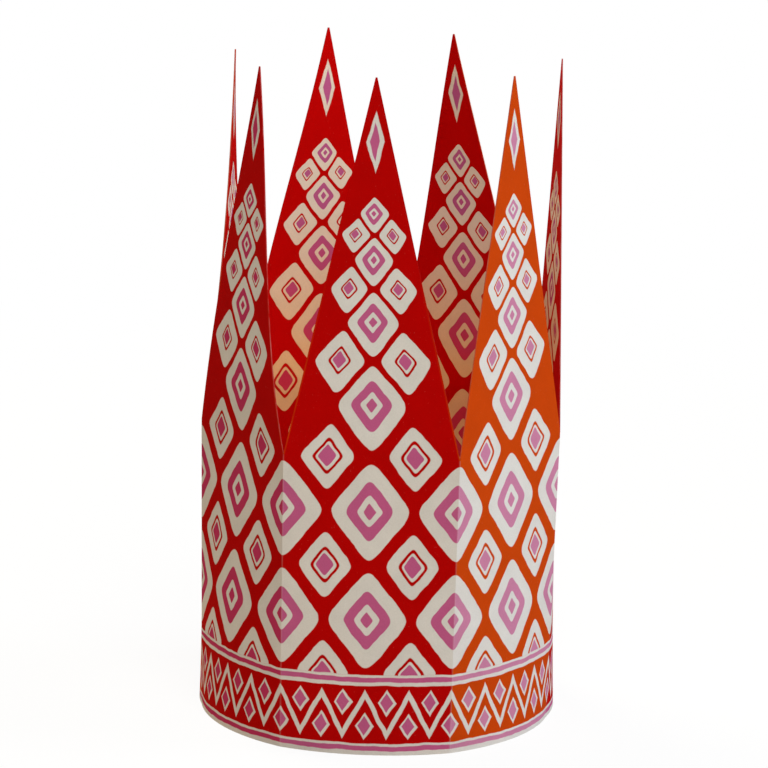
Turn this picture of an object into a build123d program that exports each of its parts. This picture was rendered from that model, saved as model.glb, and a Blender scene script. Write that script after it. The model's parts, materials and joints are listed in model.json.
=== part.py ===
from build123d import *
import os
from math import radians, tan

# Card strip as it is cut flat, in millimetres
PANEL_COUNT = 7  # pointed panels side by side in the strip
PANEL_WIDTH = 82.0  # crease to crease, so the ring fits a head of 574 mm round
BAND_HEIGHT = 138.0  # base edge to the foot of a notch
POINT_RISE = 171.0  # foot of a notch to the tip of a point
TIP_WIDTH = 0.8  # blunt end that the cutter leaves on a tip
CARD_THICKNESS = 0.5

# Tab past the last panel, glued to the inside of the first one to close the ring
TAB_WIDTH = 14.0
TAB_TAPER = 9.0  # how much the tab's free edge is shortened at each end
TAB_MARGIN = 7.0  # card left bare between the tab and the base edge, and below the notch

# Shape of the closed ring as it stands: panels bowed at the base edge, and flat from the notches up
OVAL_RATIO = 0.83  # width of the ring over its depth from front to back
BASE_BOW = 8.5  # how far a panel bows out between its creases along the base edge

# Lean of each point in degrees, the front one first and then round by way of +X
LEAN_IN = (5.5, 1.0, 0.0, 2.0, -2.5, 2.0, 2.0)
LEAN_SIDE = (-1.0, -0.5, -4.5, 2.5, -1.0, 5.5, -0.5)

UP = Vector(0, 0, 1)
FRONT_ANGLE = -90  # the front panel faces -Y
CLOSING_CREASE = PANEL_COUNT // 2  # the back crease, opposite the front panel


def crease_ring(chord):
    """Outer crease points at a level where the panels are that wide in plan, in order round the ring."""
    oval = EllipticalCenterArc((0, 0), OVAL_RATIO, 1, start_angle=FRONT_ANGLE, arc_size=360)
    points = [oval.position_at((index + 0.5) / PANEL_COUNT) for index in range(PANEL_COUNT)]
    mean_chord = sum((points[i] - points[i - 1]).length for i in range(PANEL_COUNT)) / PANEL_COUNT
    return [point * (chord / mean_chord) for point in points]


BASE_RING = crease_ring(PANEL_WIDTH - 8 * BASE_BOW**2 / (3 * PANEL_WIDTH))
NOTCH_RING = crease_ring(PANEL_WIDTH)


def panel_axes(panel):
    """Unit vectors along a panel from crease to crease and straight out of its face."""
    along = (NOTCH_RING[panel % PANEL_COUNT] - NOTCH_RING[panel % PANEL_COUNT - 1]).normalized()
    return along, along.cross(UP)


def mitres(panel):
    """Unit vectors out of the creases at the start and the end of a panel, half way between the faces."""
    outward_before, outward, outward_after = (panel_axes(panel + step)[1] for step in (-1, 0, 1))
    return (outward_before + outward).normalized(), (outward + outward_after).normalized()


def base_slice(panel, outer_depth, inner_depth):
    """Bowed slice of a panel along the base edge, between two depths below its outer face."""
    outward = panel_axes(panel)[1]
    start_mitre, end_mitre = mitres(panel)
    start, end = BASE_RING[panel - 1], BASE_RING[panel]
    crest = (start + end) / 2 + outward * BASE_BOW
    outer, inner = (
        ThreePointArc(start - start_mitre * depth, crest - outward * depth, end - end_mitre * depth)
        for depth in (outer_depth, inner_depth)
    )
    return make_face([outer, Line(outer @ 1, inner @ 1), inner, Line(inner @ 0, outer @ 0)])


def notch_slice(panel, outer_depth, inner_depth):
    """Straight slice of a panel level with the feet of the notches, between two depths."""
    outward = panel_axes(panel)[1]
    start_mitre, end_mitre = (mitre / mitre.dot(outward) for mitre in mitres(panel))
    start, end = NOTCH_RING[panel - 1], NOTCH_RING[panel]
    outline = Polyline(
        start - start_mitre * outer_depth,
        end - end_mitre * outer_depth,
        end - end_mitre * inner_depth,
        start - start_mitre * inner_depth,
        close=True,
    )
    return Pos(0, 0, BAND_HEIGHT) * make_face(outline)


def band_panel(panel, outer_depth=0.0, inner_depth=CARD_THICKNESS):
    """Part of a panel from the bowed base edge up to the straight line between its notches."""
    slices = [base_slice(panel, outer_depth, inner_depth), notch_slice(panel, outer_depth, inner_depth)]
    return loft(slices, ruled=True)


def point(panel):
    """Flat tapering point of a panel, from the feet of its two notches to its leaning tip."""
    along, outward = panel_axes(panel)
    lean_in = POINT_RISE * tan(radians(LEAN_IN[panel % len(LEAN_IN)]))
    lean_side = POINT_RISE * tan(radians(LEAN_SIDE[panel % len(LEAN_SIDE)]))
    foot_start, foot_end = (NOTCH_RING[crease] + UP * BAND_HEIGHT for crease in (panel - 1, panel))
    tip = (foot_start + foot_end) / 2 + UP * POINT_RISE - outward * lean_in + along * lean_side
    half_tip = along * TIP_WIDTH / 2
    outline = make_face(Polyline(foot_start, foot_end, tip + half_tip, tip - half_tip, close=True))
    return extrude(outline, CARD_THICKNESS, dir=-outward)


def closing_tab():
    """Second thickness of card inside the closing crease, with both corners of its free edge cut off."""
    panel = (CLOSING_CREASE + 1) % PANEL_COUNT
    along, outward = panel_axes(panel)
    face = Plane(origin=NOTCH_RING[CLOSING_CREASE], x_dir=along, z_dir=outward)
    low, high = TAB_MARGIN, BAND_HEIGHT - TAB_MARGIN
    corners = [(0, low), (TAB_WIDTH, low + TAB_TAPER), (TAB_WIDTH, high - TAB_TAPER), (0, high)]
    outline = make_face(Polyline(*corners, close=True))
    block = extrude(face * outline, PANEL_WIDTH / 4, both=True)
    layer = band_panel(panel, CARD_THICKNESS / 2, 2 * CARD_THICKNESS)
    return layer & block


def crown():
    """The whole sheet as one solid: band, points and closing tab."""
    pieces = [band_panel(panel) for panel in range(PANEL_COUNT)]
    pieces += [point(panel) for panel in range(PANEL_COUNT)]
    pieces.append(closing_tab())
    return pieces[0].fuse(*pieces[1:]).clean()


os.makedirs("parts", exist_ok=True)
export_step(crown(), "parts/crown.step")
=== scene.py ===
"""Paper crown: a printed card strip with pointed panels, creased and closed into an oval ring."""
import json
from bisect import bisect_left
from itertools import accumulate, pairwise
from math import asin, cos, e, radians, sin, tan, tau

import bpy
from bpy.props import FloatProperty, FloatVectorProperty, PointerProperty
from mathutils import Matrix, Vector

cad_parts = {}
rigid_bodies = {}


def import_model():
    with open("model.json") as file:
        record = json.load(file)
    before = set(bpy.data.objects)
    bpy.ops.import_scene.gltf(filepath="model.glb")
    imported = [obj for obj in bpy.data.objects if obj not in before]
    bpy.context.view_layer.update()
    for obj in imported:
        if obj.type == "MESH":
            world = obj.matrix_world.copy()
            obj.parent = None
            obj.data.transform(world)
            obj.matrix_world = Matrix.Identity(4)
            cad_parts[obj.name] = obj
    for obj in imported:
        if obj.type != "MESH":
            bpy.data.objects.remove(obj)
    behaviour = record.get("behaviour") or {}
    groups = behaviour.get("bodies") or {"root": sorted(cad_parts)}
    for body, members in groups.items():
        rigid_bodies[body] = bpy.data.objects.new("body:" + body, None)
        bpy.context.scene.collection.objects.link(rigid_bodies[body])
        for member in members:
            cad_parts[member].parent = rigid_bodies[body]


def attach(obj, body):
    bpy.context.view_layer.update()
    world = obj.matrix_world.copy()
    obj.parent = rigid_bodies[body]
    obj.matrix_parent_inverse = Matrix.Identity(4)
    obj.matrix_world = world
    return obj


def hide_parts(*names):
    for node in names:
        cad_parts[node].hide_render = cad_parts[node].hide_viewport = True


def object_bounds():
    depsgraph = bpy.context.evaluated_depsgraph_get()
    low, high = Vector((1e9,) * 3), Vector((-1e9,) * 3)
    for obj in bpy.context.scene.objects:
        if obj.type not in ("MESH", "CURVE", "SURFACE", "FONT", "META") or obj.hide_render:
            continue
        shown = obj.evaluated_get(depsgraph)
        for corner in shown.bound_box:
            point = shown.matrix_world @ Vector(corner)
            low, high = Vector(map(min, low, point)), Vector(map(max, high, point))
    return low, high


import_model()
CAD_BOX = [list(corner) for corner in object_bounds()]

bl_info = {
    "name": "Paper crown",
    "version": (1, 0, 0),
    "blender": (4, 5, 0),
    "location": "View3D > Sidebar > Paper crown",
    "description": "Folds a printed card strip with pointed panels into a standing crown",
    "category": "Add Mesh",
}

# The strip and its mesh, in metres. Panel 0 is the front one, and the others follow round by way of +X
PANEL_COUNT = 7
FIRST_PANEL = 4  # the flat strip starts with this panel, beside the closing crease
BAND_HEIGHT = 0.138
CROWN_HEIGHT = CAD_BOX[1][2] - CAD_BOX[0][2]
COLUMNS = 16  # faces across a panel
BAND_ROWS = 20  # faces from the base edge to the notches
POINT_ROWS = 20  # faces from the notches to a tip
OVAL_STEPS = 36000  # steps in which the way round the oval is measured
SEED_SIZE = 0.001  # a primitive this small is merged to the first vertex of a line
NEAR = 2e-5  # vertices closer than this to a line belong to it
GLUE_GAP = 0.1  # share of the card's thickness between the tab and the panel behind it
SMOOTH_ANGLE = radians(25)  # edges that turn by more stay sharp
SHEET_UV = "flat_sheet"
UP = Vector((0, 0, 1))

# The print, in millimetres on the flat sheet
MM = 1000  # millimetres in a metre
PRINT_MASKS = ("Card", "Pink", "Orange", "Deep", "Tab", "Fold", "Trim", "Rise")
ORANGE_PLACES = (1, 4, 6)  # places in the flat strip with an orange outside; the others are red
SHADED_DEEP_PINK_PLACES = (0, 2)  # red places in the flat strip whose pink outside is darker, partly with painted shade
INK_EDGE = 0.3  # soft width of a printed edge
DRIFT = 0.8  # how far a printed edge wanders off its line
DRIFT_NOISE = (0.11, 2.5)  # scale and detail of the wandering
PINK_SLIP = (0.003, -0.0002, 0)  # how far the pink lies off the rest, in panels across and metres up

# Border along the base edge
FRIEZE = (5.4, 32.4)  # ground between the stripes
BORDER_TOP = 37.4
CARD_STRIPES = ((-9.0, FRIEZE[0]), (FRIEZE[1], BORDER_TOP))  # the lower one runs on past the base edge
PINK_STRIPES = ((1.9, 4.1), (33.9, 36.1))
ZIGZAG = (9.4, 28.4)  # lowest and highest place of its middle line
ZIGZAG_PERIOD = 20.5
ZIGZAG_HALF_LINE = 1.05
OVER_ZIGZAG, UNDER_ZIGZAG = 24.4, 13.4  # middles of the small lozenges in its turns
SMALL_CARD, SMALL_PINK = (4.4, 6.2), (3.1, 4.5)  # half width and half height of a small lozenge

# Lozenges of the panels, whose rings are given by their way out of the middle
CELL_WIDTH, CELL_HEIGHT = 41.0, 50.3
CORNER_POWER = 7  # the higher, the sharper the corners
CARD_CELL = 15.4  # edge of a card lozenge
PINK_RING, PINK_HEART = (5.0, 9.4), 2.5  # what is pink in a card lozenge
SMALL_CELL, SMALL_CELL_GAIN = 10.4, 2.5  # edge of a lozenge between those, and what it gains on a point
GROUND_LINE, PINK_CORE = (4.6, 5.9), 3.5  # line and pink in such a lozenge
BAND_ROW = 3.5  # lozenges past this count of half rows stand on a point
LAST_ROW = 10.5  # no lozenge past this count of half rows
EDGE_COLUMN = 1.5  # no lozenge past this count of half columns on a point
SMALLEST = 0.05  # share of their size that the lozenges never shrink below
TIP_DROP = 29.0  # from a tip down to the middle of the lozenge below it
TIP_LOZENGE = {"Card": (4.3, 14.0), "Pink": (2.4, 8.8)}  # half width and half height of that lozenge

# Wear and painted light on the print: lighter folds, an orange line along the cut edges, painted warm bounce
# light inside
FOLD_WEAR_AND_HIGHLIGHT = 0.45  # half the width of the lighter line along a fold, partly worn ink and partly a painted highlight of the rounded crease
FOLD_LIGHTENING = 0.16  # share of card colour mixed in there, at most
TRIM_LINE = 0.6  # width of the orange line painted along a point's cut edges on the outer face
WARM_RISE = (146.0, 222.0)  # heights between which that line, and the painted warm bounce light inside, fade out

# The card: scales per metre with the detail of their noise, and how strongly each shows
FIBRES, MOTTLE, FLECKS, STAIN = (1500.0, 3.0), (90.0, 4.0), (1100.0, 1.0), (160.0, 3.0)
TONE_SWING = 0.16  # change of tone by the fibres, and by the mottle
FLECK_START, FLECK_GAIN = 0.7, 9.0  # flecks are where their noise is past the start
FLECK_LOSS = 0.04  # share of the ink that is missing at a fleck
EDGE_INK, STAIN_SWING = 0.72, 0.4  # share of ink on the cut edge, and how much the stain adds
FACE_ROUGHNESS, EDGE_ROUGHNESS, ROUGHNESS_SWING = 0.85, 0.95, 0.2
CARD_SPECULAR = 0.02
FIBRE_DEPTH, FIBRE_STRENGTH = 0.0001, 0.25

# The stage
FLOOR_SIZE = 14
FLOOR_BOUNCE = (0.67, 0.53, 0.40, 1)  # colour of the light that the floor throws on the crown
FLOOR_SEEN = (0.97, 0.97, 0.97, 1)
FOOT_WHITE, WHITE_GAIN = 0.9, 0.1  # share of plain white at the crown's foot, and what a metre adds
SKY_COLOUR = (1.0, 0.76, 0.56, 1)
WHITE = (1, 1, 1, 1)
LAMP_REACH, LAMP_SIZE = 2.3, 1.2
LAMPS = (  # name, turn from the front and rise in degrees, colour
    ("side_lamp", 96, 28, (0.75, 0.87, 1.0)),
    ("front_lamp", 14, 50, (0.98, 0.99, 0.93)),
    ("back_lamp", -138, 40, (1.0, 0.89, 0.68)),
)
SENSOR_WIDTH = 36  # millimetres
FAR_CLIP = 50


class CrownSizes(bpy.types.PropertyGroup):
    """Sizes of the card strip and of the ring that it is closed into."""

    panel_width: FloatProperty(
        name="Panel width", description="Crease to crease on the flat strip", default=0.082, unit="LENGTH"
    )
    band_height: FloatProperty(
        name="Band height", description="Base edge to the foot of a notch",
        default=BAND_HEIGHT, unit="LENGTH",
    )
    point_rise: FloatProperty(
        name="Point rise", description="Foot of a notch to the tip of a point",
        default=CROWN_HEIGHT - BAND_HEIGHT, unit="LENGTH",
    )
    tip_width: FloatProperty(
        name="Tip width", description="Blunt end that the cutter leaves on a tip",
        default=0.0008, unit="LENGTH",
    )
    card_thickness: FloatProperty(
        name="Card thickness", description="Thickness of the card", default=0.0005, unit="LENGTH"
    )
    oval_ratio: FloatProperty(
        name="Oval ratio", description="Width of the ring over its depth from front to back", default=0.83
    )
    base_bow: FloatProperty(
        name="Base bow", description="How far a panel bows out along the base edge",
        default=0.0085, unit="LENGTH",
    )
    lean_in: FloatVectorProperty(
        name="Lean in", description="Lean of each point towards the middle, front one first",
        default=[radians(angle) for angle in (5.5, 1.0, 0.0, 2.0, -2.5, 2.0, 2.0)],
        size=PANEL_COUNT, unit="ROTATION",
    )
    lean_side: FloatVectorProperty(
        name="Lean sideways", description="Sideways lean of each point, front one first",
        default=[radians(angle) for angle in (-1.0, -0.5, -4.5, 2.5, -1.0, 5.5, -0.5)],
        size=PANEL_COUNT, unit="ROTATION",
    )
    twist: FloatVectorProperty(
        name="Twist", description="Turn of each point about its middle line by the time it reaches its tip",
        default=[radians(angle) for angle in (0, 0, 0, 0, 0, 12, 0)],
        size=PANEL_COUNT, unit="ROTATION",
    )
    flare: FloatVectorProperty(
        name="Flare", description="Turn of each point about its middle line a third of the way up",
        default=[radians(angle) for angle in (0, 0, 0, 0, -9, 0, -1.5)],
        size=PANEL_COUNT, unit="ROTATION",
    )
    bulge: FloatVectorProperty(
        name="Bulge", description="How far each point bows outwards a third of the way up",
        default=(0, 0, 0, 0.0030, 0.0034, -0.0006, 0.0025),
        size=PANEL_COUNT, unit="LENGTH",
    )
    seam_gap: FloatProperty(
        name="Seam gap", description="Hairline left open along the closing crease",
        default=0.0004, unit="LENGTH",
    )
    tab_width: FloatProperty(
        name="Tab width", description="Width of the glued tab", default=0.014, unit="LENGTH"
    )
    tab_taper: FloatProperty(
        name="Tab taper", description="How much the tab's free edge is shortened at each end",
        default=0.009, unit="LENGTH",
    )
    tab_margin: FloatProperty(
        name="Tab margin", description="Card left bare past each end of the tab",
        default=0.007, unit="LENGTH",
    )


class CrownInks(bpy.types.PropertyGroup):
    """Colours of the card and of the inks on it, some with painted light and shade in them."""

    card: FloatVectorProperty(
        name="Card", description="Bare card, outside",
        default=(0.740, 0.735, 0.727, 1), size=4, subtype="COLOR",
    )
    # Painted bounce light: the inner card and inner red are brighter and warmer copies of the outer card and
    # red
    lit_inner_card: FloatVectorProperty(
        name="Inner card", description="Bare card, inside",
        default=(0.860, 0.760, 0.628, 1), size=4, subtype="COLOR",
    )
    # Painted bounce light: the inner card low down, warmed by light thrown between the red walls
    bounce_lit_card: FloatVectorProperty(
        name="Warm card", description="Bare card low down inside",
        default=(0.860, 0.505, 0.232, 1), size=4, subtype="COLOR",
    )
    red: FloatVectorProperty(
        name="Red", description="Red ground, outside",
        default=(0.490, 0.0009, 0.0006, 1), size=4, subtype="COLOR",
    )
    lit_inner_red: FloatVectorProperty(
        name="Inner red", description="Red ground, inside",
        default=(0.580, 0.0008, 0.0006, 1), size=4, subtype="COLOR",
    )
    orange: FloatVectorProperty(
        name="Orange", description="Orange ground",
        default=(0.585, 0.060, 0.0030, 1), size=4, subtype="COLOR",
    )
    pink: FloatVectorProperty(
        name="Pink", description="Pink beside red",
        default=(0.548, 0.114, 0.288, 1), size=4, subtype="COLOR",
    )
    # Partly painted shade: the pink darkened as it looks on a shaded panel
    shaded_deep_pink: FloatVectorProperty(
        name="Deep pink", description="Darker pink beside red",
        default=(0.530, 0.040, 0.132, 1), size=4, subtype="COLOR",
    )
    # Partly painted light: the pink paled as it looks on a brightly lit panel
    lit_pale_pink: FloatVectorProperty(
        name="Pale pink", description="Pink beside orange",
        default=(0.592, 0.226, 0.390, 1), size=4, subtype="COLOR",
    )
    # Painted bounce light: the inner pink low down, reddened by light thrown between the red walls
    bounce_lit_pink: FloatVectorProperty(
        name="Crimson", description="Pink low down inside",
        default=(0.620, 0.033, 0.070, 1), size=4, subtype="COLOR",
    )


class CrownStage(bpy.types.PropertyGroup):
    """Camera and lamps."""

    azimuth: FloatProperty(
        name="Azimuth", description="Camera's turn to the right of the front",
        default=radians(2.985), unit="ROTATION",
    )
    elevation: FloatProperty(
        name="Elevation", description="Camera's height over the horizon",
        default=radians(11.728), unit="ROTATION",
    )
    roll: FloatProperty(
        name="Roll", description="Camera's turn about its own axis", default=radians(1.467), unit="ROTATION"
    )
    distance: FloatProperty(
        name="Distance", description="Camera to the point it aims at", default=2.2805, unit="LENGTH"
    )
    aim_height: FloatProperty(
        name="Aim height", description="Height of the point it aims at", default=0.15323, unit="LENGTH"
    )
    lens: FloatProperty(name="Lens", description="Focal length in millimetres", default=227.4)
    side_power: FloatProperty(
        name="Side lamp", description="Cool lamp on the right", default=31.5, unit="POWER"
    )
    front_power: FloatProperty(
        name="Front lamp", description="Main lamp high in front", default=35.5, unit="POWER"
    )
    back_power: FloatProperty(
        name="Back lamp", description="Warm lamp behind on the left", default=36.0, unit="POWER"
    )
    sky: FloatProperty(name="Sky", description="Even light from all round", default=0.05)


def crease_ring(sizes, chord):
    """Outer crease points at a level where the panels are that wide in plan, in order round the ring."""
    angles = (tau * step / OVAL_STEPS for step in range(OVAL_STEPS + 1))
    oval = [Vector((sizes.oval_ratio * sin(angle), -cos(angle), 0)) for angle in angles]
    lengths = list(accumulate((end - start).length for start, end in pairwise(oval)))
    creases = range(PANEL_COUNT)
    steps = [bisect_left(lengths, lengths[-1] * (crease + 0.5) / PANEL_COUNT) + 1 for crease in creases]
    points = [oval[step] for step in steps]
    mean_chord = sum((points[crease] - points[crease - 1]).length for crease in creases) / PANEL_COUNT
    return [point * (chord / mean_chord) for point in points]


class PanelLayout:
    """Where one panel of the strip stands in the closed ring."""

    def __init__(self, sizes, panel):
        self.sizes = sizes
        self.panel = panel
        width, bow = sizes.panel_width, sizes.base_bow
        base_chord = width - 8 * bow**2 / (3 * width)  # under a shallow arc that is as long as the width
        base, notch = crease_ring(sizes, base_chord), crease_ring(sizes, width)
        level = UP * sizes.band_height
        self.base_start, self.base_end = base[panel - 1], base[panel]
        self.notch_start, self.notch_end = notch[panel - 1] + level, notch[panel] + level
        self.along = (self.notch_end - self.notch_start).normalized()
        self.outward = self.along.cross(UP)
        self.tip = (self.notch_start + self.notch_end) / 2 + sizes.point_rise * (
            UP - self.outward * tan(sizes.lean_in[panel]) + self.along * tan(sizes.lean_side[panel])
        )
        half_chord = (self.base_end - self.base_start).length / 2
        self.arc_radius = (half_chord**2 + bow**2) / (2 * bow)
        self.arc_angle = 2 * asin(half_chord / self.arc_radius)
        middle = (self.base_start + self.base_end) / 2
        self.arc_centre = middle + self.outward * (bow - self.arc_radius)

    def row(self, height):
        """Start of the panel's row at a height, and its width there, in space and on the flat sheet."""
        sizes = self.sizes
        if height <= sizes.band_height:
            share = height / sizes.band_height
            start = self.base_start.lerp(self.notch_start, share)
            end = self.base_end.lerp(self.notch_end, share)
            return start, (end - start).length, sizes.panel_width
        share = (height - sizes.band_height) / sizes.point_rise
        half_tip = self.along * sizes.tip_width / 2
        start = self.notch_start.lerp(self.tip - half_tip, share)
        end = self.notch_end.lerp(self.tip + half_tip, share)
        width = (end - start).length
        return start, width, width * sizes.panel_width / (self.notch_end - self.notch_start).length

    def flat_place(self, place):
        """Place of a panel's vertex on the flat sheet: panels along the strip, and metres up."""
        start, width, flat_width = self.row(place.z)
        column = round(COLUMNS * (place - start).dot(self.along) / width)
        order = (self.panel - FIRST_PANEL) % PANEL_COUNT
        return order + 0.5 + (column / COLUMNS - 0.5) * flat_width / self.sizes.panel_width, place.z

    def tab_place(self, place):
        """Place of the tab's vertex on the flat sheet, past the last panel."""
        reach = (place - self.row(place.z)[0]).dot(self.along)
        return PANEL_COUNT + reach / self.sizes.panel_width, place.z


def select_vertices(piece, wanted):
    """Select the vertices whose place passes a test, and the edges between them, in edit mode."""
    bpy.ops.mesh.select_mode(type="VERT")
    bpy.ops.mesh.select_all(action="DESELECT")
    bpy.ops.object.mode_set(mode="OBJECT")
    for vertex in piece.data.vertices:
        vertex.select = wanted(vertex.co)
    bpy.ops.object.mode_set(mode="EDIT")


def select_level(piece, *heights):
    """Select the vertices at the given heights, and the edges between them, in edit mode."""
    select_vertices(piece, lambda place: any(abs(place.z - height) < NEAR for height in heights))


def on_line(place, start, end):
    """True if a place is on the straight line from start to end."""
    way = end - start
    share = min(max((place - start).dot(way) / way.length_squared, 0), 1)
    return (place - start - way * share).length < NEAR


def seed_vertex(place):
    """Put a lone vertex in the mesh that is being edited, and leave only it selected."""
    bpy.ops.mesh.primitive_plane_add(size=SEED_SIZE, location=place)
    bpy.ops.mesh.merge(type="CENTER")


def new_piece(name):
    """New empty mesh piece at the origin, in edit mode."""
    bpy.ops.object.select_all(action="DESELECT")
    bpy.ops.mesh.primitive_plane_add(size=SEED_SIZE)
    piece = bpy.context.object
    piece.name = piece.data.name = name
    bpy.ops.object.mode_set(mode="EDIT")
    bpy.ops.mesh.delete(type="VERT")
    return piece


def bowed_band(layout, depth, share):
    """Bridge the bowed base line and the straight notch line of a panel, or of a share of its width."""
    columns = max(1, round(COLUMNS * share))
    radius_share = (layout.arc_radius - depth) / layout.arc_radius
    seed_vertex(layout.arc_centre.lerp(layout.base_start, radius_share))
    bpy.ops.mesh.spin(steps=columns, angle=-layout.arc_angle * share, center=layout.arc_centre, axis=UP)
    seed_vertex(layout.notch_start - layout.outward * depth)
    reach = (layout.notch_end - layout.notch_start) * share
    bpy.ops.mesh.extrude_region_move(TRANSFORM_OT_translate={"value": reach})
    bpy.ops.mesh.select_linked()
    bpy.ops.mesh.subdivide(number_cuts=columns - 1)
    bpy.ops.mesh.select_all(action="SELECT")
    bpy.ops.mesh.bridge_edge_loops(number_cuts=BAND_ROWS - 1, interpolation="LINEAR")


def unfold(piece, flat_place):
    """Give a piece its place on the flat sheet as a UV map, by a function of a vertex's place."""
    bpy.ops.object.mode_set(mode="OBJECT")
    sheet = piece.data.uv_layers.new(name=SHEET_UV)
    for loop in piece.data.loops:
        sheet.data[loop.index].uv = flat_place(piece.data.vertices[loop.vertex_index].co)


def bend_point(piece, layout):
    """Turn the rows of a point about its middle line, and bow its lower half."""
    sizes, panel = layout.sizes, layout.panel
    for row in range(1, POINT_ROWS):
        share = row / POINT_ROWS
        swell = 27 / 4 * share * (1 - share) ** 2  # 1 a third of the way up, and 0 at both ends
        height = sizes.band_height + share * sizes.point_rise
        start, width, _ = layout.row(height)
        select_level(piece, height)
        middle = start + layout.along * width / 2
        turn = sizes.twist[panel] * share + sizes.flare[panel] * swell
        bpy.ops.transform.rotate(value=-turn, orient_axis="Z", center_override=middle)
        bpy.ops.transform.translate(value=layout.outward * sizes.bulge[panel] * swell)


def pointed_panel(sizes, panel):
    """One panel of the strip: bowed band below, leaning point above."""
    layout = PanelLayout(sizes, panel)
    piece = new_piece(f"panel_{panel}")
    bowed_band(layout, 0, 1)
    select_level(piece, sizes.band_height)
    rise = layout.tip - (layout.notch_start + layout.notch_end) / 2
    bpy.ops.mesh.duplicate_move(TRANSFORM_OT_translate={"value": rise})
    taper = sizes.tip_width / (layout.notch_end - layout.notch_start).length
    bpy.ops.transform.resize(value=(taper, taper, taper), center_override=layout.tip)
    select_level(piece, sizes.band_height, sizes.band_height + sizes.point_rise)
    bpy.ops.mesh.bridge_edge_loops(number_cuts=POINT_ROWS - 1, interpolation="LINEAR")
    unfold(piece, layout.flat_place)
    bpy.ops.object.mode_set(mode="EDIT")
    if sizes.twist[panel] or sizes.flare[panel] or sizes.bulge[panel]:
        bend_point(piece, layout)
    if panel == FIRST_PANEL:
        select_vertices(piece, lambda place: on_line(place, layout.base_start, layout.notch_start))
        bpy.ops.transform.translate(value=layout.along * sizes.seam_gap)
    bpy.ops.object.mode_set(mode="OBJECT")
    return piece


def closing_tab(sizes):
    """Tab of the strip's far end, glued to the inside of the first panel, with its two corners cut off."""
    layout = PanelLayout(sizes, FIRST_PANEL)
    piece = new_piece("closing_tab")
    depth = sizes.card_thickness * (1 + GLUE_GAP)
    bowed_band(layout, depth, sizes.tab_width / sizes.panel_width)
    above_cut = UP * sizes.tab_width - layout.along * sizes.tab_taper
    below_cut = -UP * sizes.tab_width - layout.along * sizes.tab_taper
    low, high = sizes.tab_margin, sizes.band_height - sizes.tab_margin
    for height, kept_side in ((low, above_cut), (high, below_cut)):
        corner = layout.base_start.lerp(layout.notch_start, height / sizes.band_height)
        bpy.ops.mesh.select_all(action="SELECT")
        bpy.ops.mesh.bisect(plane_co=corner, plane_no=kept_side.normalized(), clear_inner=True)
    unfold(piece, layout.tab_place)
    return piece


def join_sheet(pieces):
    """Join the panels and the tab into one sheet, merged along the creases and facing outwards."""
    bpy.ops.object.select_all(action="DESELECT")
    for piece in pieces:
        piece.select_set(True)
    sheet = pieces[0]
    bpy.context.view_layer.objects.active = sheet
    bpy.ops.object.join()
    bpy.ops.object.mode_set(mode="EDIT")
    bpy.ops.mesh.select_all(action="SELECT")
    bpy.ops.mesh.remove_doubles(threshold=2 * NEAR)
    bpy.ops.mesh.normals_make_consistent(inside=False)
    return sheet


def mark_creases(sheet, sizes):
    """Mark the folds between the panels as sharp."""
    for panel in range(PANEL_COUNT):
        layout = PanelLayout(sizes, panel)
        select_vertices(sheet, lambda place: on_line(place, layout.base_end, layout.notch_end))
        bpy.ops.mesh.mark_sharp()
    bpy.ops.object.mode_set(mode="OBJECT")


def thicken(sheet, thickness):
    """Give the sheet its thickness inwards, with the inner face and the cut edge in their own materials."""
    bpy.ops.object.modifier_add(type="SOLIDIFY")
    card = sheet.modifiers[-1]
    card.thickness = thickness
    card.offset = -1
    card.use_even_offset = True
    card.material_offset = 1
    card.material_offset_rim = 2
    bpy.ops.object.modifier_apply(modifier=card.name)
    bpy.ops.object.shade_smooth_by_angle(angle=SMOOTH_ANGLE, keep_sharp_edges=True)


def feed(tree, socket, value):
    """Link an output to a socket, or set the socket to a plain value."""
    if isinstance(value, bpy.types.NodeSocket):
        tree.links.new(value, socket)
    else:
        socket.default_value = value


def calc(tree, operation, *values, clamp=False):
    """Math node on the given values; its output."""
    node = tree.nodes.new("ShaderNodeMath")
    node.operation = operation
    node.use_clamp = clamp
    for socket, value in zip(node.inputs, values):
        feed(tree, socket, value)
    return node.outputs[0]


def add_node(tree, kind, inputs=None, **settings):
    """Node with its settings made and its named inputs fed."""
    node = tree.nodes.new(kind)
    for name, value in settings.items():
        setattr(node, name, value)
    for name, value in (inputs or {}).items():
        feed(tree, node.inputs[name], value)
    return node


def new_group(name, inputs, outputs):
    """Empty shader node group with named sockets, and the sockets of its two end nodes."""
    group = bpy.data.node_groups.new(name, "ShaderNodeTree")
    for socket, kind in inputs.items():
        group.interface.new_socket(socket, in_out="INPUT", socket_type=f"NodeSocket{kind}")
    for socket in outputs:
        group.interface.new_socket(socket, in_out="OUTPUT", socket_type="NodeSocketFloat")
    start = group.nodes.new("NodeGroupInput").outputs
    end = group.nodes.new("NodeGroupOutput").inputs
    return group, start, end


def use_group(tree, group, inputs):
    """Place a node group and feed its named sockets; its outputs."""
    return add_node(tree, "ShaderNodeGroup", inputs, node_tree=group).outputs


def noise(tree, place, scale, detail):
    """Noise at a scale; its outputs."""
    return add_node(tree, "ShaderNodeTexNoise", {"Vector": place, "Scale": scale, "Detail": detail}).outputs


def mix_colours(tree, share, first, second, blend="MIX"):
    """Colour mixed from the first to the second."""
    node = add_node(tree, "ShaderNodeMix", data_type="RGBA", blend_type=blend)
    colours = [socket for socket in node.inputs if socket.type == "RGBA"]
    feed(tree, node.inputs["Factor"], share)
    feed(tree, colours[0], first)
    feed(tree, colours[1], second)
    return next(socket for socket in node.outputs if socket.type == "RGBA")


def inside(tree, distance):
    """Mask of where a signed distance in millimetres is below nought, with a printed edge's softness."""
    return calc(tree, "MULTIPLY_ADD", distance, -1 / INK_EDGE, 0.5, clamp=True)


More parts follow.
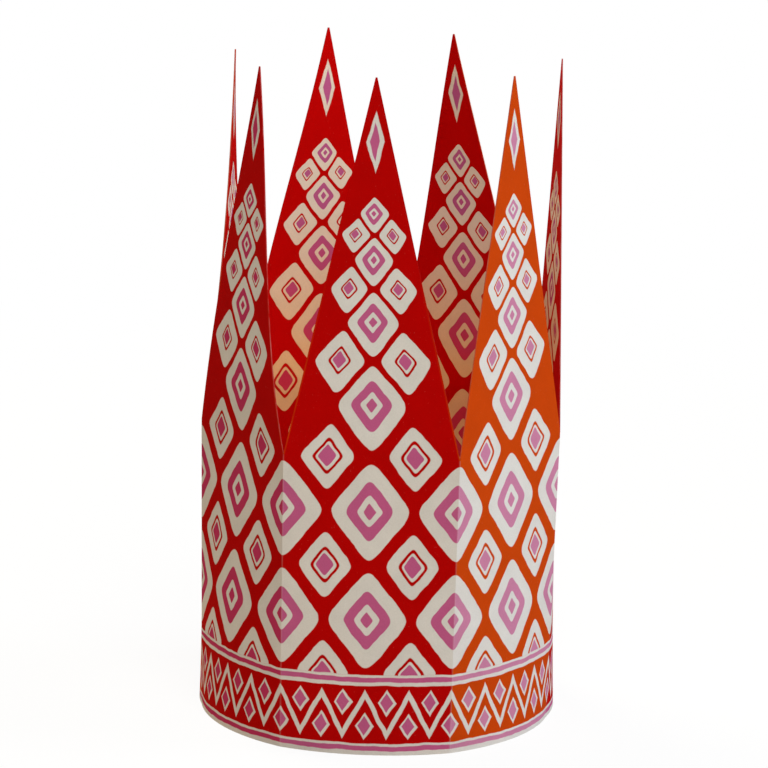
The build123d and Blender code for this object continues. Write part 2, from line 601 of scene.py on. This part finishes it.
def below(tree, value, bound):
    """Mask of where a value in millimetres is below a bound."""
    return inside(tree, calc(tree, "SUBTRACT", value, bound))


def within(tree, value, low, high):
    """Mask of where a value in millimetres is between two bounds."""
    off_middle = calc(tree, "ABSOLUTE", calc(tree, "SUBTRACT", value, (low + high) / 2))
    return below(tree, off_middle, (high - low) / 2)


def union(tree, *masks):
    """Mask of where any of the masks is."""
    whole = masks[0]
    for mask in masks[1:]:
        whole = calc(tree, "MAXIMUM", whole, mask)
    return whole


def lozenge(tree, across, up, half_width, half_height):
    """Mask of a lozenge about the place where across and up are nought."""
    reach = half_width * half_height / (half_width**2 + half_height**2) ** 0.5
    across = calc(tree, "DIVIDE", calc(tree, "ABSOLUTE", across), half_width)
    up = calc(tree, "DIVIDE", calc(tree, "ABSOLUTE", up), half_height)
    return inside(tree, calc(tree, "MULTIPLY_ADD", calc(tree, "ADD", across, up), reach, -reach))


def wave(tree, value, period):
    """Signed way from the middle of the period that a value is in."""
    share = calc(tree, "FRACT", calc(tree, "DIVIDE", value, period))
    return calc(tree, "MULTIPLY", calc(tree, "SUBTRACT", share, 0.5), period)


def border_group():
    """Stripes along the base edge, with a zigzag and small lozenges between them."""
    group, start, end = new_group("Border print", {"Across": "Float", "Height": "Float"}, ("Card", "Pink"))
    across, height = start["Across"], start["Height"]
    low, high = ZIGZAG
    climb = 2 * (high - low) / ZIGZAG_PERIOD
    swing = wave(group, across, ZIGZAG_PERIOD)
    zigzag = calc(group, "MULTIPLY_ADD", calc(group, "ABSOLUTE", swing), climb, low)
    above_line = calc(group, "ABSOLUTE", calc(group, "SUBTRACT", height, zigzag))
    off_line = calc(group, "MULTIPLY", above_line, 1 / (1 + climb**2) ** 0.5)
    cards = [below(group, off_line, ZIGZAG_HALF_LINE)]
    pinks = [within(group, height, *stripe) for stripe in PINK_STRIPES]
    between = wave(group, calc(group, "ADD", across, ZIGZAG_PERIOD / 2), ZIGZAG_PERIOD)
    for place, middle in ((swing, OVER_ZIGZAG), (between, UNDER_ZIGZAG)):
        up = calc(group, "SUBTRACT", height, middle)
        cards.append(lozenge(group, place, up, *SMALL_CARD))
        pinks.append(lozenge(group, place, up, *SMALL_PINK))
    in_frieze = calc(group, "MULTIPLY", union(group, *cards), within(group, height, *FRIEZE))
    stripes = [within(group, height, *stripe) for stripe in CARD_STRIPES]
    feed(group, end["Card"], union(group, *stripes, in_frieze))
    feed(group, end["Pink"], union(group, *pinks))
    return group


def rounded_ring(tree, *sides):
    """How far out of a cell's middle a place is, with the corners of the rings slightly rounded."""
    powers = [calc(tree, "POWER", calc(tree, "ABSOLUTE", side), CORNER_POWER) for side in sides]
    return calc(tree, "POWER", calc(tree, "ADD", *powers), 1 / CORNER_POWER)


def straightened(tree, across, height, band, rise):
    """Place on an endless straight strip for a place on a panel, so that the print shrinks to the tip."""
    share = calc(tree, "DIVIDE", calc(tree, "SUBTRACT", band + rise, height), rise)
    share = calc(tree, "MINIMUM", calc(tree, "MAXIMUM", share, SMALLEST), 1)
    climb = calc(tree, "MULTIPLY", calc(tree, "LOGARITHM", share, e), -rise)
    strip_height = calc(tree, "ADD", calc(tree, "MINIMUM", height, band), climb)
    return calc(tree, "DIVIDE", across, share), strip_height


def lozenge_group(sizes):
    """Rows of large and small lozenges in turn, which shrink with a point and keep clear of its edges."""
    group, start, end = new_group("Lozenge print", {"Across": "Float", "Height": "Float"}, ("Card", "Pink"))
    across, height = start["Across"], start["Height"]
    band, rise = MM * sizes.band_height, MM * sizes.point_rise
    strip_across, strip_height = straightened(group, across, height, band, rise)
    column = calc(group, "DIVIDE", strip_across, CELL_WIDTH)
    row = calc(group, "DIVIDE", calc(group, "SUBTRACT", strip_height, BORDER_TOP), CELL_HEIGHT)
    diagonals = [calc(group, sign, row, column) for sign in ("ADD", "SUBTRACT")]
    rising, falling = (calc(group, "FLOOR", diagonal) for diagonal in diagonals)
    half_rows = calc(group, "ADD", rising, falling)
    half_columns = calc(group, "ABSOLUTE", calc(group, "SUBTRACT", rising, falling))
    on_small = calc(group, "FLOORED_MODULO", half_rows, 2)
    on_large = calc(group, "SUBTRACT", 1, on_small)
    reach = CELL_WIDTH * CELL_HEIGHT / (CELL_WIDTH**2 + CELL_HEIGHT**2) ** 0.5
    ring = rounded_ring(group, *(wave(group, diagonal, 1) for diagonal in diagonals))
    out = calc(group, "MULTIPLY", ring, reach)

    on_point = calc(group, "GREATER_THAN", half_rows, BAND_ROW)
    small_edge = calc(group, "MULTIPLY_ADD", on_point, SMALL_CELL_GAIN, SMALL_CELL)
    small_card = calc(group, "SUBTRACT", below(group, out, small_edge), within(group, out, *GROUND_LINE))
    cells = {
        "Card": (below(group, out, CARD_CELL), calc(group, "MAXIMUM", small_card, 0)),
        "Pink": (
            union(group, within(group, out, *PINK_RING), below(group, out, PINK_HEART)),
            below(group, out, PINK_CORE),
        ),
    }

    past_edge = calc(group, "MULTIPLY", calc(group, "GREATER_THAN", half_columns, EDGE_COLUMN), on_point)
    below_tip = calc(group, "LESS_THAN", half_rows, LAST_ROW)
    field = calc(group, "MULTIPLY", calc(group, "SUBTRACT", 1, past_edge), below_tip)
    field = calc(group, "MULTIPLY", field, calc(group, "GREATER_THAN", height, BORDER_TOP))
    up = calc(group, "SUBTRACT", height, band + rise - TIP_DROP)
    for name, (large, small) in cells.items():
        large, small = calc(group, "MULTIPLY", on_large, large), calc(group, "MULTIPLY", on_small, small)
        rows = calc(group, "MULTIPLY", calc(group, "ADD", large, small), field)
        feed(group, end[name], union(group, rows, lozenge(group, across, up, *TIP_LOZENGE[name])))
    return group


def print_group(sizes, border, lozenges):
    """The whole print, read on the flat sheet: masks of its inks, of the bare tab, of the lighter lines along
    folds and cut edges, and of the rise over which painted warm light inside fades.
    """
    group, start, end = new_group("Sheet print", {"Sheet": "Vector"}, PRINT_MASKS)
    sheet = add_node(group, "ShaderNodeSeparateXYZ", {"Vector": start["Sheet"]}).outputs
    width, band, rise = (MM * size for size in (sizes.panel_width, sizes.band_height, sizes.point_rise))
    panel = calc(group, "FLOOR", sheet["X"])
    flat_height = calc(group, "MULTIPLY", sheet["Y"], MM)
    off_middle = calc(group, "SUBTRACT", calc(group, "FRACT", sheet["X"]), 0.5)
    flat_across = calc(group, "MULTIPLY", off_middle, width)

    strip_place = {"X": calc(group, "MULTIPLY", sheet["X"], width), "Y": flat_height}
    strip_place = add_node(group, "ShaderNodeCombineXYZ", strip_place).outputs["Vector"]
    drift = noise(group, strip_place, *DRIFT_NOISE)["Color"]
    drift = add_node(group, "ShaderNodeSeparateColor", {"Color": drift}).outputs
    across, height = (
        calc(group, "ADD", flat, calc(group, "MULTIPLY_ADD", drift[channel], 2 * DRIFT, -DRIFT))
        for flat, channel in ((flat_across, "Red"), (flat_height, "Green"))
    )
    parts = [use_group(group, part, {"Across": across, "Height": height}) for part in (border, lozenges)]
    tab = calc(group, "GREATER_THAN", panel, PANEL_COUNT - 0.5)
    printed = calc(group, "SUBTRACT", 1, tab)
    feed(group, end["Tab"], tab)
    for name in ("Card", "Pink"):
        mask = union(group, *(part[name] for part in parts))
        feed(group, end[name], calc(group, "MULTIPLY", mask, printed))
    for name, places in (("Orange", ORANGE_PLACES), ("Deep", SHADED_DEEP_PINK_PLACES)):
        masks = [calc(group, "COMPARE", panel, float(place), 0.5) for place in places]
        feed(group, end[name], union(group, *masks))

    # Fold: a lighter line along the folds in the band, partly worn ink and partly a painted highlight of the
    # rounded crease
    off_fold = calc(group, "MULTIPLY", calc(group, "PINGPONG", sheet["X"], 0.5), width)
    fold = calc(group, "MULTIPLY", below(group, off_fold, FOLD_WEAR_AND_HIGHLIGHT), drift["Blue"])
    feed(group, end["Fold"], calc(group, "MULTIPLY", fold, calc(group, "LESS_THAN", height, band)))
    # Trim: an orange line along a point's cut edges
    taper = calc(group, "DIVIDE", calc(group, "SUBTRACT", band + rise, flat_height), rise)
    half_width = calc(group, "MULTIPLY", taper, width / 2)
    to_cut = calc(group, "SUBTRACT", half_width, calc(group, "ABSOLUTE", flat_across))
    trim = calc(group, "MULTIPLY", below(group, to_cut, TRIM_LINE), drift["Blue"])
    trim = calc(group, "MULTIPLY", trim, calc(group, "GREATER_THAN", flat_height, band))
    # Rise fades out, going up, the orange line along the cut edges and the painted warm bounce light inside
    low, high = WARM_RISE
    climb = calc(group, "MULTIPLY_ADD", flat_height, 1 / (high - low), -low / (high - low), clamp=True)
    feed(group, end["Trim"], calc(group, "MULTIPLY", trim, calc(group, "SUBTRACT", 1, climb)))
    feed(group, end["Rise"], climb)
    return group


def grain_group():
    """Fibres, mottle and flecks of uncoated card: its tone, its heights and where ink is missing."""
    group, start, end = new_group("Card grain", {"Place": "Vector"}, ("Tone", "Height", "Fleck"))
    fibres, mottle, flecks = (
        noise(group, start["Place"], *layer)["Fac"] for layer in (FIBRES, MOTTLE, FLECKS)
    )
    tones = [calc(group, "MULTIPLY_ADD", layer, TONE_SWING, 1 - TONE_SWING / 2) for layer in (mottle, fibres)]
    feed(group, end["Tone"], calc(group, "MULTIPLY", *tones))
    feed(group, end["Height"], fibres)
    fleck = calc(group, "MULTIPLY_ADD", flecks, FLECK_GAIN, -FLECK_GAIN * FLECK_START, clamp=True)
    feed(group, end["Fleck"], fleck)
    return group


def print_masks(tree, sheet_print, slip=(0, 0, 0)):
    """Masks of the print, read a slip away from a place on the flat sheet."""
    sheet = add_node(tree, "ShaderNodeUVMap", uv_map=SHEET_UV).outputs["UV"]
    place = add_node(tree, "ShaderNodeVectorMath", operation="ADD")
    feed(tree, place.inputs[0], sheet)
    feed(tree, place.inputs[1], slip)
    return use_group(tree, sheet_print, {"Sheet": place.outputs["Vector"]})


def printed_outside(tree, inks, sheet_print, fleck):
    """Printed colour of the sheet's outer face, with its tab left bare, an orange line along the cut edges, a
    lighter line along the folds that is partly worn ink and partly painted highlight, and pinks with painted
    light and shade.
    """
    masks = print_masks(tree, sheet_print)
    pink_mask = print_masks(tree, sheet_print, PINK_SLIP)["Pink"]
    ground = mix_colours(tree, union(tree, masks["Orange"], masks["Trim"]), inks.red, inks.orange)
    # The deep pink carries painted shade and the pale pink painted light, both in part
    pink = mix_colours(tree, masks["Deep"], inks.pink, inks.shaded_deep_pink)
    pink = mix_colours(tree, masks["Orange"], pink, inks.lit_pale_pink)
    bare = calc(tree, "MULTIPLY_ADD", fleck, FLECK_LOSS, masks["Card"], clamp=True)
    bare = union(tree, bare, masks["Tab"])
    inked = mix_colours(tree, pink_mask, mix_colours(tree, bare, ground, inks.card), pink)
    return mix_colours(tree, calc(tree, "MULTIPLY", masks["Fold"], FOLD_LIGHTENING), inked, inks.card)


def printed_inside(tree, inks, sheet_print, fleck):
    """Printed colour of the sheet's inner face, with painted bounce light: warmer and brighter than outside,
    and warmest low down.
    """
    masks = print_masks(tree, sheet_print)
    pink_mask = print_masks(tree, sheet_print, PINK_SLIP)["Pink"]
    bare = calc(tree, "MULTIPLY_ADD", fleck, FLECK_LOSS, masks["Card"], clamp=True)
    card = mix_colours(tree, masks["Rise"], inks.bounce_lit_card, inks.lit_inner_card)
    pink = mix_colours(tree, masks["Rise"], inks.bounce_lit_pink, inks.pink)
    return mix_colours(tree, pink_mask, mix_colours(tree, bare, inks.lit_inner_red, card), pink)


def inked_edge(tree, inks, sheet_print, _fleck):
    """Colour of the cut edge: card that has taken up most of the ink of its panel."""
    masks = print_masks(tree, sheet_print)
    ground = mix_colours(tree, masks["Orange"], inks.red, inks.orange)
    place = add_node(tree, "ShaderNodeTexCoord").outputs["Object"]
    stain = noise(tree, place, *STAIN)["Fac"]
    taken_up = calc(tree, "MULTIPLY_ADD", stain, STAIN_SWING, EDGE_INK, clamp=True)
    return mix_colours(tree, taken_up, inks.card, ground)


def card_material(name, finish, roughness, inks, sheet_print, grain):
    """Matte card with its grain; finish gives the colour on it."""
    material = bpy.data.materials.new(name)
    material.use_nodes = True
    tree = material.node_tree
    shader = tree.nodes["Principled BSDF"]
    place = add_node(tree, "ShaderNodeTexCoord").outputs["Object"]
    surface = use_group(tree, grain, {"Place": place})
    colour = finish(tree, inks, sheet_print, surface["Fleck"])
    tinted = mix_colours(tree, 1.0, colour, surface["Tone"], blend="MULTIPLY")
    feed(tree, shader.inputs["Base Color"], tinted)
    least = roughness - ROUGHNESS_SWING
    rough = calc(tree, "MULTIPLY_ADD", surface["Tone"], ROUGHNESS_SWING, least)
    feed(tree, shader.inputs["Roughness"], rough)
    shader.inputs["Specular IOR Level"].default_value = CARD_SPECULAR
    relief = {"Height": surface["Height"], "Strength": FIBRE_STRENGTH, "Distance": FIBRE_DEPTH}
    bump = add_node(tree, "ShaderNodeBump", relief)
    feed(tree, shader.inputs["Normal"], bump.outputs["Normal"])
    return material


class PAPER_CROWN_OT_sheet(bpy.types.Operator):
    """Cut, print, fold and close the card strip"""

    bl_idname = "paper_crown.sheet"
    bl_label = "Fold the sheet"

    def execute(self, context):
        sizes, inks = context.scene.crown_sizes, context.scene.crown_inks
        order = [(FIRST_PANEL + step) % PANEL_COUNT for step in range(PANEL_COUNT)]
        pieces = [pointed_panel(sizes, panel) for panel in order]
        pieces.append(closing_tab(sizes))
        sheet = join_sheet(pieces)
        sheet.name = sheet.data.name = "paper_crown"
        mark_creases(sheet, sizes)
        sheet_print = print_group(sizes, border_group(), lozenge_group(sizes))
        grain = grain_group()
        sheet.data.materials.clear()
        for name, finish, roughness in (
            ("printed_outside", printed_outside, FACE_ROUGHNESS),
            ("printed_inside", printed_inside, FACE_ROUGHNESS),
            ("cut_edge", inked_edge, EDGE_ROUGHNESS),
        ):
            material = card_material(name, finish, roughness, inks, sheet_print, grain)
            sheet.data.materials.append(material)
        thicken(sheet, sizes.card_thickness)
        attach(sheet, "root")
        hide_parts("crown")
        return {"FINISHED"}


def seen_rays(tree):
    """Mask of the rays that show the background itself: the camera's, and those by way of gloss and glass."""
    rays = add_node(tree, "ShaderNodeLightPath").outputs
    return union(tree, rays["Is Camera Ray"], rays["Is Glossy Ray"], rays["Is Transmission Ray"])


def studio_floor():
    """Wide pale floor that goes over to plain white away from the crown, and keeps its soft shadow."""
    bpy.ops.mesh.primitive_plane_add(size=FLOOR_SIZE)
    floor = bpy.context.object
    floor.name = floor.data.name = "floor"
    material = bpy.data.materials.new("pale_floor")
    material.use_nodes = True
    tree = material.node_tree
    shader, output = tree.nodes["Principled BSDF"], tree.nodes["Material Output"]
    shader.inputs["Roughness"].default_value = 1
    shader.inputs["Specular IOR Level"].default_value = 0
    white = add_node(tree, "ShaderNodeEmission", {"Strength": 1.0})
    rays = seen_rays(tree)
    feed(tree, shader.inputs["Base Color"], mix_colours(tree, rays, FLOOR_BOUNCE, FLOOR_SEEN))
    place = add_node(tree, "ShaderNodeTexCoord").outputs["Object"]
    away = add_node(tree, "ShaderNodeVectorMath", {"Vector": place}, operation="LENGTH").outputs["Value"]
    glow = calc(tree, "MINIMUM", calc(tree, "MULTIPLY_ADD", away, WHITE_GAIN, FOOT_WHITE), 1)
    mix = add_node(tree, "ShaderNodeMixShader", {"Fac": calc(tree, "MULTIPLY", rays, glow)})
    tree.links.new(shader.outputs[0], mix.inputs[1])
    tree.links.new(white.outputs[0], mix.inputs[2])
    tree.links.new(mix.outputs[0], output.inputs["Surface"])
    floor.data.materials.append(material)


def studio_sky(strength):
    """Even surround that lights the crown softly and shows as white."""
    world = bpy.data.worlds.new("studio")
    bpy.context.scene.world = world
    world.use_nodes = True
    tree = world.node_tree
    background = tree.nodes["Background"]
    rays = seen_rays(tree)
    feed(tree, background.inputs["Color"], mix_colours(tree, rays, SKY_COLOUR, WHITE))
    feed(tree, background.inputs["Strength"], calc(tree, "MULTIPLY_ADD", rays, 1 - strength, strength))


def soft_lamp(name, turn, rise, colour, power):
    """Square soft lamp, turned from the front and raised, that shines at the crown's middle."""
    turn, rise = radians(turn), radians(rise)
    way = Vector((sin(turn) * cos(rise), -cos(turn) * cos(rise), sin(rise)))
    bpy.ops.object.light_add(type="AREA", location=UP * CROWN_HEIGHT / 2 + way * LAMP_REACH)
    lamp = bpy.context.object
    lamp.name = lamp.data.name = name
    lamp.data.size = LAMP_SIZE
    lamp.data.energy = power
    lamp.data.color = colour
    lamp.rotation_euler = (-way).to_track_quat("-Z", "Y").to_euler()


def photo_camera(stage):
    """Camera at the photograph's angle."""
    around, over, roll = stage.azimuth, stage.elevation, stage.roll
    forward = Vector((-sin(around) * cos(over), cos(around) * cos(over), -sin(over)))
    level = Vector((cos(around), sin(around), 0))
    upward = level.cross(forward)
    right = level * cos(roll) + upward * sin(roll)
    up = upward * cos(roll) - level * sin(roll)
    place = UP * stage.aim_height - forward * stage.distance
    bpy.ops.object.camera_add()
    camera = bpy.context.object
    camera.matrix_world = Matrix.Translation(place) @ Matrix((right, up, -forward)).transposed().to_4x4()
    camera.data.sensor_width = SENSOR_WIDTH
    camera.data.lens = stage.lens
    camera.data.clip_end = FAR_CLIP
    bpy.context.scene.camera = camera


class PAPER_CROWN_OT_stage(bpy.types.Operator):
    """Set up the floor, the lamps and the camera"""

    bl_idname = "paper_crown.stage"
    bl_label = "Set the stage"

    def execute(self, context):
        stage = context.scene.crown_stage
        bpy.ops.object.select_all(action="DESELECT")
        studio_floor()
        studio_sky(stage.sky)
        for lamp, power in zip(LAMPS, (stage.side_power, stage.front_power, stage.back_power)):
            soft_lamp(*lamp, power)
        photo_camera(stage)
        context.scene.view_settings.view_transform = "Standard"
        return {"FINISHED"}


class PAPER_CROWN_PT_panel(bpy.types.Panel):
    """Sizes and colours of the crown, and the steps that make it"""

    bl_idname = "PAPER_CROWN_PT_panel"
    bl_label = "Paper crown"
    bl_space_type = "VIEW_3D"
    bl_region_type = "UI"
    bl_category = "Paper crown"

    def draw(self, context):
        layout = self.layout
        for operator in (PAPER_CROWN_OT_sheet, PAPER_CROWN_OT_stage):
            layout.operator(operator.bl_idname)
        for group in (context.scene.crown_sizes, context.scene.crown_inks, context.scene.crown_stage):
            box = layout.box()
            for name in group.__annotations__:
                box.prop(group, name)


CLASSES = (
    CrownSizes, CrownInks, CrownStage,
    PAPER_CROWN_OT_sheet, PAPER_CROWN_OT_stage, PAPER_CROWN_PT_panel,
)


def register():
    """Register the classes and hang their settings on the scene."""
    for part in CLASSES:
        bpy.utils.register_class(part)
    bpy.types.Scene.crown_sizes = PointerProperty(type=CrownSizes)
    bpy.types.Scene.crown_inks = PointerProperty(type=CrownInks)
    bpy.types.Scene.crown_stage = PointerProperty(type=CrownStage)


def unregister():
    """Take the settings and the classes away again."""
    del bpy.types.Scene.crown_stage
    del bpy.types.Scene.crown_inks
    del bpy.types.Scene.crown_sizes
    for part in reversed(CLASSES):
        bpy.utils.unregister_class(part)


def main():
    """Make the crown and its stage."""
    register()
    bpy.ops.paper_crown.sheet()
    bpy.ops.paper_crown.stage()


if __name__ == "__main__":
    main()
